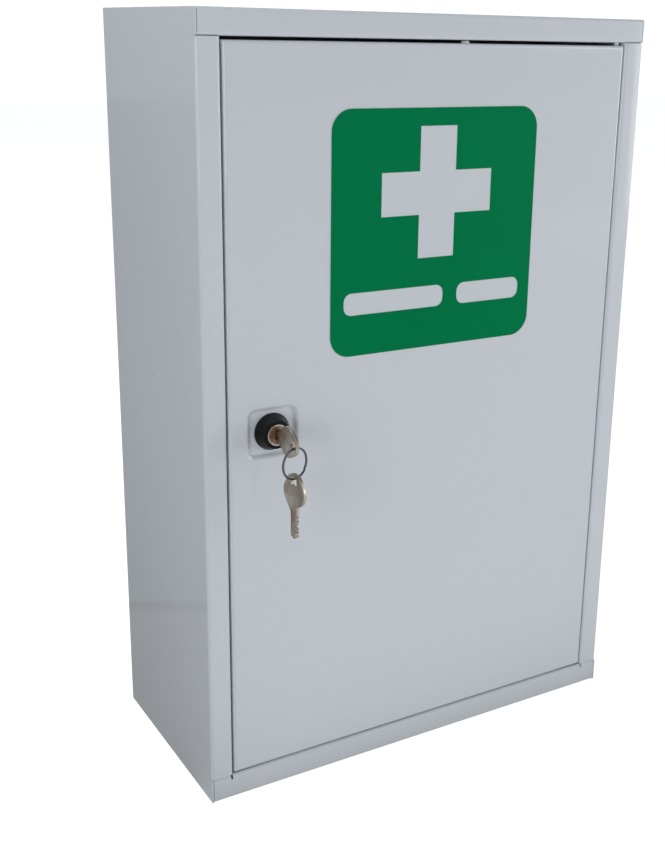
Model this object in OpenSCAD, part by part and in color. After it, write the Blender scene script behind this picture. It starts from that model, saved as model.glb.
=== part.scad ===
// Lockable wall cabinet for medicines and dressings, folded from painted steel sheet.
// Millimetres. The origin is the middle of the base, +Z is up and the door faces -Y.

/* [Case] */
// Overall width of the case
case_w = 300; // [280:5:400]
// Overall depth, from the wall face to the front face
case_d = 140; // [120:5:200]
// Overall height of the case
case_h = 460; // [440:5:600]
// Thickness of the case's sheet
sheet = 1; // [0.8:0.1:1.2]
// Outer radius of every bend
bend_r = 2; // [1.6:0.1:2.4]
// Height of the front rail above the door
top_rail_h = 14; // [12:0.5:18]
// Height of the front rail below the door
bottom_rail_h = 15.4; // [13:0.2:20]
// Width of each upright beside the door
stile_w = 13.7; // [12:0.1:18]
// Height of the flanges that weld the end panels and the shelves to the walls
flange_h = 12; // [8:1:16]
// Gap between each end of a front rail and the wall beside it
rail_end_gap = 0.3; // [0.1:0.1:0.6]
// Gap between an upright and the rail that it meets
stile_gap = 0.1; // [0.1:0.1:0.6]
// Length of the slit that frees an upright's bend from the wall's plain front edge
slit_h = 0.4; // [0.4:0.1:2]
// Height of the stop that the closed door faces
stop_h = 8; // [5:0.5:12]
// Distance from each end of the stop to the side of the door opening
stop_inset = 26; // [20:1:60]
// Gap between the closed door and the stop
stop_gap = 0.4; // [0.3:0.1:1]
// Width of the corner relief in the bottom rail
relief_w = 1.2; // [0.8:0.1:2]
// Height of the corner relief in the bottom rail
relief_h = 3; // [2:0.5:5]

/* [Shelves] */
// Height of the upper shelf's top face above the base
upper_shelf_z = 262; // [250:1:320]
// Height of the lower shelf's top face above the base
lower_shelf_z = 131; // [80:1:180]
// Distance from the front of the case to the front edge of each shelf
shelf_setback = 28; // [27:1:60]
// Diameter of the weld mark that the upper shelf leaves on each wall
mark_d = 3.6; // [2:0.2:6]
// Depth of the weld mark
mark_depth = 0.25; // [0.1:0.05:0.4]
// Distance from the front of the case to the weld mark
mark_setback = 64.6; // [40:0.2:100]
// Distance from the upper shelf's top face down to the weld mark
mark_drop = 9; // [5:0.5:11]

/* [Wall fixing] */
// Diameter of each of the four holes in the back
wall_hole_d = 7; // [4:0.5:9]
// Distance between the holes, side to side
wall_hole_w = 200; // [100:5:240]
// Distance between the holes, top to bottom
wall_hole_h = 360; // [340:5:380]

/* [Door] */
// Thickness of the door's sheet
door_sheet = 1; // [0.8:0.1:1.2]
// Depth of the door, from its front face to the back of its return lips
door_d = 15; // [13:0.5:17]
// Width of the return lips round the back of the door
door_lip = 10; // [6:1:14]
// Gap beside the door, on each side
side_gap = 1.3; // [1:0.1:2]
// Gap above the door
top_gap = 1.8; // [1.2:0.1:3]
// Gap below the door
bottom_gap = 1.2; // [1:0.1:2]
// Distance from the door's middle to the middle of its buffer, towards the hinge
buffer_x = 18; // [-60:1:60]
// Distance from the door's front face to the middle of the buffer
buffer_setback = 5; // [4.6:0.2:9]
// Diameter of the buffer's head
buffer_d = 4.8; // [4:0.2:6]
// Gap between the buffer and the top rail
buffer_gap = 0.3; // [0.2:0.1:0.6]
// Diameter of the buffer's stem
buffer_stem_d = 2.6; // [2:0.1:3]
// Diameter of the barb that holds the buffer's stem
buffer_barb_d = 3.6; // [3.2:0.1:4]
// Length of the barb
buffer_barb_h = 1.6; // [1:0.1:3]

/* [Hinges] */
// Distance from the door's hinge edge to the pin axis
hinge_inset = 3.6; // [3.5:0.1:4.4]
// Distance from the door's front face to the pin axis
hinge_setback = 4; // [3.8:0.1:4]
// Diameter of each pin in the rail and in the gap
pin_body_d = 3; // [2.8:0.1:3.2]
// Diameter of each pin's tip, which runs in the door
pin_tip_d = 2.2; // [2:0.1:2.4]
// Length of the tip inside the door's edge
pin_tip_l = 6; // [5:0.5:10]
// Running clearance round the tip, on the radius
pin_clearance = 0.05; // [0.03:0.01:0.1]
// Diameter of each pin's head
pin_head_d = 5; // [4:0.2:5]
// Height of each pin's head
pin_head_h = 1.6; // [1:0.1:2.5]
// Gap between each pin's shoulder and the door
shoulder_gap = 0.1; // [0.05:0.05:0.3]
// Thickness of the plates that stiffen the hinges
plate_t = 2; // [1.5:0.5:3]
// Length of each stiffening plate from the pin towards the lock side
plate_reach = 16; // [10:1:30]
// Length of a frame's stiffening plate from the pin towards the wall
plate_back = 9; // [5:1:12]

/* [Sign] */
// Width of the sign
sign_w = 142; // [80:1:180]
// Height of the sign
sign_h = 141; // [132:1:170]
// Radius of the sign's corners
sign_r = 13; // [5:1:20]
// Distance from the door's top edge to the sign's top edge
sign_drop = 34.8; // [10:0.2:80]
// Distance from the door's middle to the sign's middle, towards the hinge
sign_shift = -1.2; // [-20:0.2:20]
// Thickness of the white backing
backing_t = 0.2; // [0.1:0.05:0.4]
// Thickness of the green film
film_t = 0.15; // [0.1:0.05:0.4]
// Width of the white rim round the green film
sign_rim = 0.4; // [0.4:0.1:3]
// Width and height of the cross
cross_w = 76; // [40:1:76]
// Width of each arm of the cross
cross_arm = 25; // [12:1:30]
// Distance from the sign's top edge to the middle of the cross
cross_drop = 48.6; // [42:0.2:60]
// Distance from the sign's top edge to the middle of the two bars
bars_drop = 110; // [106:0.5:115]
// Height of the two bars
bar_h = 13; // [13:1:20]
// Length of the long bar
bar_long = 68; // [30:1:70]
// Length of the short bar
bar_short = 46; // [20:1:50]
// Radius of the bars' corners
bar_r = 5; // [1:0.5:6]
// Gap between the two bars
bar_gap = 10; // [5:1:12]

/* [Lock] */
// Distance from the door's free edge to the lock axis
lock_inset = 27; // [24:0.5:40]
// Height of the lock axis above the base
lock_z = 230.4; // [210:0.2:240]
// Width of the pressed dish round the lock
dish_w = 30; // [28:0.5:36]
// Height of the pressed dish
dish_h = 28; // [27:0.5:36]
// Radius of the dish's corners
dish_r = 5; // [3:0.5:8]
// Depth of the dish
dish_depth = 2.2; // [1.5:0.1:3]
// Diameter of the bezel where it meets the door
bezel_d = 21.8; // [21:0.1:24]
// Diameter of the bezel's front face
bezel_front_d = 16.4; // [15:0.1:18]
// Length of the bezel
bezel_l = 8; // [7:0.1:10]
// Height of the straight rim at the foot of the bezel
bezel_rim_h = 1.4; // [0.8:0.1:2]
// Diameter of the lock's bright nose
nose_d = 12.8; // [12:0.1:14]
// Height of the nose above the bezel
nose_proud = 0.4; // [0.2:0.1:1]
// Diameter of the flange that clamps the lock to the door
head_d = 17; // [16.8:0.1:18]
// Height of that flange
head_h = 2.2; // [1.6:0.1:3]
// Diameter of the lock's barrel
barrel_d = 16; // [15:0.1:16.4]
// Width across the barrel's two flats
barrel_flat = 13.4; // [13:0.1:14]
// Length of the barrel behind the dish's front face
barrel_l = 16.6; // [16:0.1:20]
// Clearance round the barrel, on the radius
barrel_fit = 0.1; // [0.05:0.05:0.2]
// Width of the nut across its flats
nut_af = 22; // [20:0.5:23]
// Thickness of the nut
nut_h = 4; // [3:0.5:5]
// Diameter of the toothed washer
toothed_d = 21; // [19:0.5:22]
// Thickness of the toothed washer
toothed_h = 0.8; // [0.5:0.1:1.2]
// Number of gaps round the toothed washer
tooth_gaps = 12; // [6:1:18]
// Depth of the gaps round the toothed washer
tooth_depth = 1.2; // [0.5:0.1:1.4]
// Width of the gaps round the toothed washer
tooth_gap_w = 1.6; // [0.8:0.1:2]

/* [Plug and cam] */
// Diameter of the plug's face
plug_head_d = 10.4; // [10:0.1:11]
// Height of the plug's face part
plug_head_h = 1.9; // [1.2:0.1:2.5]
// Height of the plug above the nose
plug_proud = 0.1; // [0.1:0.1:0.5]
// Diameter of the plug's body
plug_d = 9; // [8.8:0.1:9.4]
// Running clearance round the plug, on the radius
plug_clearance = 0.05; // [0.03:0.01:0.1]
// Width across the square that drives the cam
drive_w = 6; // [5:0.1:6.2]
// Clearance round the square, on each side
drive_fit = 0.1; // [0.05:0.05:0.2]
// Gap between the barrel's end and the cam
cam_play = 0.2; // [0.1:0.1:0.5]
// Thickness of the cam
cam_t = 2; // [1.5:0.1:3]
// Radius of the cam round the plug
cam_hub_r = 8; // [6:0.5:10]
// Width of the cam's arm
cam_w = 13; // [9:0.5:16]
// Length by which the turned cam passes the edge of the door opening
cam_overlap = 5.7; // [3:0.1:8]
// Gap between the turned cam and the back edge of the upright
catch_gap = 2; // [1:0.1:3]
// Diameter of the cam's washer
cam_washer_d = 12; // [10:0.5:14]
// Thickness of the cam's washer
cam_washer_h = 1; // [0.5:0.1:1.4]
// Diameter of the cam screw's head
screw_head_d = 7; // [6:0.5:8]
// Height of the cam screw's head
screw_head_h = 2.4; // [1.5:0.1:2.6]
// Diameter of the cam screw's shank
screw_d = 3.2; // [2.5:0.1:3.5]
// Length of the cam screw's shank
screw_l = 9; // [6:0.5:10]
// Clearance round the screw, on the radius
screw_fit = 0.1; // [0.05:0.05:0.2]
// Number of wafers
wafers = 5; // [3:1:5]
// Distance from one wafer to the next
wafer_pitch = 2.3; // [2:0.1:2.4]
// Thickness of a wafer
wafer_t = 0.7; // [0.5:0.1:0.8]
// Width of a wafer
wafer_w = 4; // [3.6:0.1:4.2]
// Height of a wafer
wafer_h = 7.6; // [7:0.1:7.8]
// Distance from the plug's face to the first wafer
first_wafer = 2.9; // [2.6:0.1:3.4]
// Clearance round a wafer, on each side
wafer_fit = 0.1; // [0.05:0.05:0.15]
// Depth of the channels that the wafers drop into
channel_depth = 1; // [0.6:0.1:1.4]
// Width of the ear that each wafer's spring pushes
ear_w = 1.1; // [0.9:0.1:1.2]
// Height of the ear
ear_h = 1.2; // [0.8:0.1:1.6]
// Diameter of each wafer's spring
spring_d = 0.8; // [0.6:0.1:0.8]
// Length of each wafer's spring
spring_l = 2; // [1.4:0.1:2]

/* [Keys] */
// Length of a key's bow
bow_l = 20; // [18:0.5:24]
// Width of the bow where it is widest
bow_w = 18; // [16:0.5:20]
// Width of the bow near its end
bow_end_w = 14.6; // [12:0.2:16]
// Length of the blade below the bow
blade_l = 19; // [17:0.5:20]
// Width of the blade
blade_w = 5.4; // [4.6:0.1:5.4]
// Thickness of a key
key_t = 2; // [1.5:0.1:2]
// Gap between the plug's face and the bow of the key in the lock
key_standout = 4.1; // [3:0.1:6]
// Clearance round the blade in the keyway, on each side
key_fit = 0.2; // [0.1:0.05:0.2]
// Angle at which the web to the blade leaves the bow's side
web_angle = 30; // [20:5:45]
// Length of that web past the bow
web_l = 3; // [1:0.5:5]
// Gap between the point of the key in the lock and the end of the keyway
key_end_gap = 1; // [0.5:0.1:2]
// Length of the blade's pointed end
point_l = 1.6; // [1:0.1:1.7]
// Depth of the deepest cut in the blade
cut_depth = 1.6; // [1:0.1:1.8]
// Width of each cut at the blade's edge
cut_w = 2; // [1.4:0.1:2]
// Width of the groove milled along each side of the blade
groove_w = 1.2; // [0.8:0.1:1.6]
// Depth of that groove
groove_depth = 0.35; // [0.2:0.05:0.5]
// Width of the hole in the bow
hole_w = 4.8; // [4.4:0.1:5.4]
// Length of the hole in the bow
hole_l = 5.4; // [4.8:0.1:6]
// Radius of the hole's corners
hole_r = 1.4; // [0.8:0.1:2]
// Distance from the end of the bow to the hole
hole_inset = 2; // [1.6:0.1:3]
// Distance from the outer end of the hole to the middle of the ring's wire
wire_inset = 1.5; // [1.2:0.1:2.4]
// Outer diameter of the key ring
ring_d = 19; // [15:0.5:24]
// Thickness of the ring's wire
wire_d = 1.4; // [1.1:0.1:1.5]
// Gap between the wire and the key that it hangs in
hang_gap = 0.2; // [0.15:0.05:0.3]
// Turn of the ring about the vertical
ring_turn = 16; // [0:1:20]
// Turn of the spare key about the vertical
spare_turn = 12; // [0:1:20]

/* [Hidden] */
$fn = 64;
arc_steps = 14;
over = 1;
front = -case_d / 2;
inner_w = case_w - 2 * sheet;
back_in = case_d / 2 - sheet;
bend_in = bend_r - sheet;
opening_w = case_w - 2 * stile_w;
stile_z0 = bottom_rail_h + stile_gap;
stile_z1 = case_h - top_rail_h - stile_gap;
door_w = opening_w - 2 * side_gap;
door_z0 = bottom_rail_h + bottom_gap;
door_z1 = case_h - top_rail_h - top_gap;
door_h = door_z1 - door_z0;
door_mid_z = (door_z0 + door_z1) / 2;
stop_y = front + door_d + stop_gap;
lip_l = door_d + stop_gap - bend_in;
hinge_x = door_w / 2 - hinge_inset;
hinge_y = front + hinge_setback;
pin_hole_r = pin_tip_d / 2 + pin_clearance;
buffer_y = front + buffer_setback;
shelf_front = front + shelf_setback;
lock_x = lock_inset - door_w / 2;
floor_y = front + dish_depth;
nose_l = bezel_l + nose_proud;
plug_face = nose_l + plug_proud;
cam_front = barrel_l + cam_play;
stile_lip = dish_depth + cam_front - catch_gap;
cam_reach = lock_inset + side_gap + cam_overlap;
key_l = bow_l + blade_l;
bow_end = plug_face + key_standout + bow_l;
keyway_w = key_t + 2 * key_fit;
keyway_h = blade_w + 2 * key_fit;
keyway_end = plug_face + key_standout - blade_l - key_end_gap;
drive_end = cam_front + cam_t - cam_play;
wafer_z = [for (i = [0 : wafers - 1]) plug_face - first_wafer - i * wafer_pitch];
cut_depths = [0.8, 0.6, 1, 0.45, 0.85, 0.6];
ring_r = (ring_d - wire_d) / 2;
ring_y = floor_y - bow_end + hole_inset + wire_inset;
ring_top_z = lock_z - hole_w / 2 + wire_d / 2 + hang_gap;
ring_z = ring_top_z - ring_r;
ring_low_z = ring_z - ring_r;
spare_top_z = ring_low_z + wire_d / 2 + hang_gap + hole_inset;
white = [0.93, 0.945, 0.96];
steel = [0.72, 0.73, 0.74];
nickel = [0.8, 0.79, 0.76];
black = [0.06, 0.07, 0.07];
green = [0, 0.45, 0.27];

// ---- Shared shapes ----

// A centred rectangle with round corners.
module rounded(size, r) {
    square([size.x - 2 * r, size.y], center = true);
    square([size.x, size.y - 2 * r], center = true);
    for (x = [-1, 1], y = [-1, 1])
        translate([x * (size.x / 2 - r), y * (size.y / 2 - r)]) circle(r);
}

// The outline of a sheet folded all the way round a rectangle, with a bend at each corner.
// Its lower left corner is at the origin. A profile keeps the part of it that it needs.
module tube(size) {
    translate(size / 2) difference() {
        rounded(size, bend_r);
        rounded(size - 2 * [sheet, sheet], bend_in);
    }
}

// Extrudes a profile drawn in Y and Z along X, to both sides of the middle.
module along_x(width) {
    rotate([90, 0, 90]) linear_extrude(width, center = true) children();
}

// Extrudes a profile drawn in X and Z from y0 to y1.
module along_y(y0, y1) {
    translate([0, (y0 + y1) / 2, 0]) rotate([90, 0, 0])
        linear_extrude(y1 - y0, center = true) children();
}

// Draws its children on both sides of the middle plane.
module both_sides() {
    for (side = [0, 1]) mirror([side, 0, 0]) children();
}

// Puts its children on the lock axis: their origin on the dish's floor, their +Z to the front.
module at_lock() {
    translate([lock_x, floor_y, lock_z]) rotate([90, 0, 0]) children();
}

// ---- Case ----

// Back and side walls, open at the front.
module wrap_profile() {
    difference() {
        translate([-case_w / 2, front]) tube([case_w, case_d]);
        translate([-case_w / 2, front - bend_r]) square([case_w, 2 * bend_r]);
    }
}

// An upright folded from each side wall, with its lip turned back into the case.
module stile_profile() {
    both_sides() translate([case_w / 2 - stile_w, front]) intersection() {
        tube([stile_w, case_d]);
        union() {
            square([stile_w, 2 * bend_r]);
            square([stile_w / 2, stile_lip]);
        }
    }
}

// The walls' plain front edge, where no upright is folded from it.
module plain_edge(z0, z1) {
    both_sides() translate([case_w / 2 - sheet, front, z0]) cube([sheet, 2 * bend_r, z1 - z0]);
}

// A shallow round weld mark in the outside of each wall.
module weld_marks() {
    ball_r = (mark_d * mark_d / 4 + mark_depth * mark_depth) / (2 * mark_depth);
    both_sides()
        translate([case_w / 2 + ball_r - mark_depth, front + mark_setback,
            upper_shelf_z - mark_drop]) sphere(ball_r);
}

module case_wrap() color(white)
    difference() {
        union() {
            linear_extrude(case_h) wrap_profile();
            translate([0, 0, stile_z0]) linear_extrude(stile_z1 - stile_z0) stile_profile();
            plain_edge(0, stile_z0 - slit_h);
            plain_edge(stile_z1 + slit_h, case_h);
        }
        for (x = [-1, 1], z = [-1, 1])
            translate([x * wall_hole_w / 2, back_in - over, case_h / 2 + z * wall_hole_h / 2])
                rotate([-90, 0, 0]) cylinder(d = wall_hole_d, h = sheet + 2 * over);
        weld_marks();
    }

// A front rail with its foot and its lip.
module rail_profile(rail_h) {
    translate([front, 0]) intersection() {
        tube([case_d, rail_h]);
        union() {
            square([2 * bend_r, rail_h]);
            translate([0, rail_h / 2]) square([lip_l, rail_h / 2]);
        }
    }
}

// The door stop turned up from the back edge of the lower rail's lip.
module stop_profile(rail_h) {
    height = sheet + stop_h;
    translate([stop_y + sheet, rail_h - sheet]) intersection() {
        translate([-case_d, 0]) tube([case_d, 2 * height]);
        translate([-2 * bend_r, 0]) square([2 * bend_r, height]);
    }
}

// A plate with a flange turned up along each side.
module side_flange_profile() {
    intersection() {
        translate([-inner_w / 2, 0]) tube([inner_w, case_h]);
        translate([-inner_w / 2, 0]) square([inner_w, flange_h]);
    }
}

// A flange turned up along the back.
module back_flange_profile() {
    translate([back_in - case_d, 0]) intersection() {
        tube([case_d, case_h]);
        translate([case_d - 2 * bend_r, 0]) square([2 * bend_r, flange_h]);
    }
}

// A flange turned up along the front of a shelf.
module front_flange_profile() {
    translate([shelf_front, 0]) intersection() {
        tube([case_d, case_h]);
        square([2 * bend_r, flange_h]);
    }
}

// A hole for the body of a hinge pin.
module pin_body_hole(z, depth) {
    translate([hinge_x, hinge_y, z]) cylinder(d = pin_body_d + 2 * pin_clearance, h = depth);
}

// The panel that closes one end of the case, drawn as the bottom one.
module end_panel(rail_h) {
    difference() {
        union() {
            along_x(inner_w - 2 * rail_end_gap) rail_profile(rail_h);
            along_y(front + bend_r, back_in - bend_r) side_flange_profile();
            along_x(inner_w - 2 * bend_r) back_flange_profile();
        }
        pin_body_hole(rail_h - sheet - over, sheet + 2 * over);
    }
}

module top_panel() color(white)
    translate([0, 0, case_h]) mirror([0, 0, 1]) end_panel(top_rail_h);

module bottom_panel() color(white)
    difference() {
        union() {
            end_panel(bottom_rail_h);
            along_x(opening_w - 2 * stop_inset) stop_profile(bottom_rail_h);
        }
        both_sides()
            translate([opening_w / 2, front - over, bottom_rail_h - relief_h])
                cube([relief_w, bend_r + over, relief_h + over]);
    }

// A shelf with a flange turned down along each edge.
module shelf(top_z) {
    translate([0, 0, top_z]) mirror([0, 0, 1]) {
        along_y(shelf_front + bend_r, back_in - bend_r) side_flange_profile();
        along_x(inner_w - 2 * bend_r) {
            back_flange_profile();
            front_flange_profile();
        }
    }
}

module upper_shelf() color(white) shelf(upper_shelf_z);

module lower_shelf() color(white) shelf(lower_shelf_z);

// ---- Hinges ----

// A plate welded behind a rail's lip, drawn as the lower one.
module frame_plate() {
    translate([hinge_x - plate_reach, front + bend_r, -sheet - plate_t])
        cube([plate_reach + plate_back, lip_l - bend_r, plate_t]);
}

module lower_hinge_plate() color(white)
    difference() {
        translate([0, 0, bottom_rail_h]) frame_plate();
        pin_body_hole(bottom_rail_h - sheet - plate_t - over, plate_t + 2 * over);
    }

module upper_hinge_plate() color(white)
    difference() {
        translate([0, 0, case_h - top_rail_h]) mirror([0, 0, 1]) frame_plate();
        pin_body_hole(case_h - top_rail_h + sheet - over, plate_t + 2 * over);
    }

// A headed pin with its origin on the outside of the rail's lip; its shoulder stops at the door.
module hinge_pin(gap) {
    depth = sheet + plate_t;
    translate([0, 0, -depth - pin_head_h]) cylinder(d = pin_head_d, h = pin_head_h);
    translate([0, 0, -depth]) cylinder(d = pin_body_d, h = depth + gap - shoulder_gap);
    translate([0, 0, gap - shoulder_gap]) cylinder(d = pin_tip_d, h = shoulder_gap + pin_tip_l);
}

module lower_hinge_pin() color(white)
    translate([hinge_x, hinge_y, bottom_rail_h]) hinge_pin(bottom_gap);

module upper_hinge_pin() color(white)
    translate([hinge_x, hinge_y, case_h - top_rail_h]) mirror([0, 0, 1]) hinge_pin(top_gap);

// A plate welded inside the door's edge round the pin; z is its lower face.
module door_plate(z) {
    difference() {
        translate([hinge_x - plate_reach, front + bend_r, z])
            cube([plate_reach + hinge_inset - bend_r, door_d - 2 * bend_r, plate_t]);
        translate([hinge_x, hinge_y, z - over])
            cylinder(r = pin_hole_r, h = plate_t + 2 * over);
    }
}

module upper_door_plate() color(white) door_plate(door_z1 - door_sheet - plate_t);

module lower_door_plate() color(white) door_plate(door_z0 + door_sheet);

// ---- Door ----

// The door's outer form, or its hollow when inset by the sheet's thickness.
module door_form(inset) {
    w = door_w - 2 * inset;
    d = door_d - 2 * inset;
    h = door_h - 2 * inset;
    r = bend_r - inset;
    translate([0, front + door_d / 2, door_mid_z]) intersection() {
        linear_extrude(h, center = true) rounded([w, d], r);
        along_x(w) rounded([d, h], r);
    }
}

// The round hole with two flats that keeps the lock's barrel from turning.
module barrel_profile(fit) {
    intersection() {
        circle(d = barrel_d + 2 * fit);
        square([barrel_flat + 2 * fit, barrel_d + 2 * fit], center = true);
    }
}

module door_panel() color(white)
    difference() {
        union() {
            difference() {
                door_form(0);
                door_form(door_sheet);
                translate([0, front + door_d, door_mid_z])
                    cube([door_w - 2 * door_lip, 2 * door_sheet + over, door_h - 2 * door_lip],
                        center = true);
            }
            at_lock() translate([0, 0, -door_sheet])
                linear_extrude(dish_depth)
                    rounded([dish_w + 2 * door_sheet, dish_h + 2 * door_sheet],
                        dish_r + door_sheet);
        }
        at_lock() linear_extrude(dish_depth + over) rounded([dish_w, dish_h], dish_r);
        at_lock() translate([0, 0, -door_sheet - over])
            linear_extrude(door_sheet + 2 * over) barrel_profile(barrel_fit);
        translate([hinge_x, hinge_y, door_z0 - over])
            cylinder(r = pin_hole_r, h = door_h + 2 * over);
        translate([buffer_x, buffer_y, door_z1 - door_sheet - over])
            cylinder(d = buffer_stem_d, h = door_sheet + 2 * over);
    }

// A soft button that fills the gap above the door and keeps it quiet.
module door_buffer() color([0.95, 0.95, 0.93])
    translate([buffer_x, buffer_y, door_z1]) {
        cylinder(d = buffer_d, h = top_gap - buffer_gap);
        translate([0, 0, -door_sheet]) cylinder(d = buffer_stem_d, h = door_sheet);
        translate([0, 0, -door_sheet - buffer_barb_h])
            cylinder(d1 = buffer_stem_d, d2 = buffer_barb_d, h = buffer_barb_h);
    }

// ---- Sign ----

// Puts its children flat on the door, with their origin in the middle of the sign's top edge.
module at_sign(distance) {
    translate([sign_shift, front - distance, door_z1 - sign_drop]) rotate([90, 0, 0]) children();
}

module sign_backing() color([0.96, 0.97, 0.97])
    at_sign(0) linear_extrude(backing_t)
        translate([0, -sign_h / 2]) rounded([sign_w, sign_h], sign_r);

module cross_shape() {
    square([cross_w, cross_arm], center = true);
    square([cross_arm, cross_w], center = true);
}

module bar_shapes() {
    total = bar_long + bar_gap + bar_short;
    translate([(bar_long - total) / 2, 0]) rounded([bar_long, bar_h], bar_r);
    translate([(total - bar_short) / 2, 0]) rounded([bar_short, bar_h], bar_r);
}

module sign_film() color(green)
    at_sign(backing_t) linear_extrude(film_t)
        difference() {
            translate([0, -sign_h / 2])
                rounded([sign_w - 2 * sign_rim, sign_h - 2 * sign_rim], sign_r - sign_rim);
            translate([0, -cross_drop]) cross_shape();
            translate([0, -bars_drop]) bar_shapes();
        }

// ---- Lock ----

module lock_bezel() color(black)
    at_lock() difference() {
        union() {
            cylinder(d = bezel_d, h = bezel_rim_h);
            translate([0, 0, bezel_rim_h])
                cylinder(d1 = bezel_d, d2 = bezel_front_d, h = bezel_l - bezel_rim_h);
        }
        translate([0, 0, -over]) cylinder(d = nose_d + 2 * barrel_fit, h = bezel_l + 2 * over);
        translate([0, 0, -over])
            cylinder(d = head_d + 2 * barrel_fit, h = head_h + barrel_fit + over);
    }

module lock_housing() color(nickel)
    at_lock() difference() {
        union() {
            cylinder(d = head_d, h = head_h);
            cylinder(d = nose_d, h = nose_l);
            translate([0, 0, -barrel_l]) linear_extrude(barrel_l) barrel_profile(0);
        }
        translate([0, 0, -barrel_l - over])
            cylinder(d = plug_d + 2 * plug_clearance, h = barrel_l + nose_l + 2 * over);
        translate([0, 0, plug_face - plug_head_h - plug_clearance])
            cylinder(d = plug_head_d + 2 * plug_clearance, h = plug_head_h + over);
        wafer_channels();
    }

// The two channels in the housing that the wafers drop into when the key is drawn out.
module wafer_channels() {
    z0 = wafer_z[wafers - 1] - wafer_pitch / 2;
    z1 = wafer_z[0] + wafer_pitch / 2;
    translate([-wafer_w / 2 - wafer_fit, -plug_d / 2 - channel_depth, z0])
        cube([wafer_w + 2 * wafer_fit, plug_d + 2 * channel_depth, z1 - z0]);
}

module lock_washer() color(steel)
    at_lock() translate([0, 0, -door_sheet - toothed_h]) difference() {
        cylinder(d = toothed_d, h = toothed_h);
        translate([0, 0, -over])
            cylinder(d = barrel_d + 2 * barrel_fit, h = toothed_h + 2 * over);
        for (i = [0 : tooth_gaps - 1]) rotate(i * 360 / tooth_gaps)
            translate([toothed_d / 2 - tooth_depth, -tooth_gap_w / 2, -over])
                cube([tooth_depth + over, tooth_gap_w, toothed_h + 2 * over]);
    }

module lock_nut() color(steel)
    at_lock() translate([0, 0, -door_sheet - toothed_h - nut_h]) difference() {
        cylinder(d = nut_af / cos(30), h = nut_h, $fn = 6);
        translate([0, 0, -over]) cylinder(d = barrel_d + 2 * barrel_fit, h = nut_h + 2 * over);
    }

// ---- Plug and cam ----

// The slot for one wafer, and the pocket beside it for the wafer's spring.
module wafer_slot() {
    slot_t = wafer_t + 2 * wafer_fit;
    cube([wafer_w + 2 * wafer_fit, plug_d + 2 * over, slot_t], center = true);
    translate([0, -ear_h / 2 - spring_l - wafer_fit, -slot_t / 2])
        cube([wafer_w / 2 + ear_w + wafer_fit, ear_h + spring_l + 2 * wafer_fit, slot_t]);
}

module lock_plug() color(nickel)
    at_lock() difference() {
        union() {
            translate([0, 0, plug_face - plug_head_h]) cylinder(d = plug_head_d, h = plug_head_h);
            translate([0, 0, -cam_front]) cylinder(d = plug_d, h = cam_front + plug_face);
            translate([-drive_w / 2, -drive_w / 2, -drive_end])
                cube([drive_w, drive_w, drive_end]);
        }
        translate([-keyway_w / 2, -keyway_h / 2, keyway_end])
            cube([keyway_w, keyway_h, plug_face - keyway_end + over]);
        for (z = wafer_z) translate([0, 0, z]) wafer_slot();
        translate([0, 0, -drive_end - over])
            cylinder(d = screw_d + 2 * screw_fit, h = screw_l + over);
    }

module lock_wafers() color([0.8, 0.68, 0.4])
    at_lock() for (z = wafer_z) translate([0, 0, z]) difference() {
        union() {
            cube([wafer_w, wafer_h, wafer_t], center = true);
            translate([0, -ear_h / 2, -wafer_t / 2])
                cube([wafer_w / 2 + ear_w, ear_h, wafer_t]);
        }
        cube([keyway_w, keyway_h, wafer_t + 2 * over], center = true);
    }

module wafer_springs() color(steel)
    at_lock() for (z = wafer_z)
        translate([wafer_w / 2 + ear_w / 2, -ear_h / 2, z]) rotate([90, 0, 0])
            cylinder(d = spring_d, h = spring_l);

module lock_cam() color(steel)
    at_lock() translate([0, 0, -cam_front - cam_t]) linear_extrude(cam_t) difference() {
        union() {
            circle(cam_hub_r);
            translate([-cam_w / 2, cam_w / 2 - cam_reach]) square([cam_w, cam_reach - cam_w / 2]);
            translate([0, cam_w / 2 - cam_reach]) circle(cam_w / 2);
        }
        square(drive_w + 2 * drive_fit, center = true);
    }

module cam_washer() color(steel)
    at_lock() translate([0, 0, -cam_front - cam_t - cam_washer_h]) difference() {
        cylinder(d = cam_washer_d, h = cam_washer_h);
        translate([0, 0, -over])
            cylinder(d = screw_d + 2 * screw_fit, h = cam_washer_h + 2 * over);
    }

module cam_screw() color(steel)
    at_lock() translate([0, 0, -cam_front - cam_t - cam_washer_h]) {
        translate([0, 0, -screw_head_h]) cylinder(d = screw_head_d, h = screw_head_h);
        cylinder(d = screw_d, h = screw_l);
    }

// ---- Keys ----

// Points along an arc, from angle a0 to angle a1.
function arc(centre, r, a0, a1) =
    [for (i = [0 : arc_steps]) let (a = a0 + (a1 - a0) * i / arc_steps)
        centre + r * [cos(a), sin(a)]];

// One V-shaped cut in the blade's edge.
function cut_points(edge, y, depth) =
    [[edge, y - cut_w / 2], [edge - depth, y], [edge, y + cut_w / 2]];

// A key's outline. The bow is a small circle and a large one joined by their common tangents;
// its plain side runs into the blade along a web, and its other side ends in a shoulder.
// One cut stays outside the plug, and then comes one for each wafer.
module key_outline() {
    small_r = bow_end_w / 2;
    large_r = bow_w / 2;
    slope = asin((large_r - small_r) / (bow_l - small_r - large_r));
    small = [0, -small_r];
    large = [0, large_r - bow_l];
    half = blade_w / 2;
    last_cut = wafer_z[wafers - 1] - bow_end;
    cuts = [for (i = [0 : wafers])
        each cut_points(half, last_cut + i * wafer_pitch, cut_depth * cut_depths[i])];
    polygon(concat(
        arc(small, small_r, slope, 180 - slope),
        arc(large, large_r, 180 - slope, 180 + web_angle),
        [[-half, -bow_l - web_l], [-half, -key_l + point_l], [0, -key_l],
            [half, -key_l + point_l]],
        cuts,
        arc(large, large_r, -acos(half / large_r), slope)));
}

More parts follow.
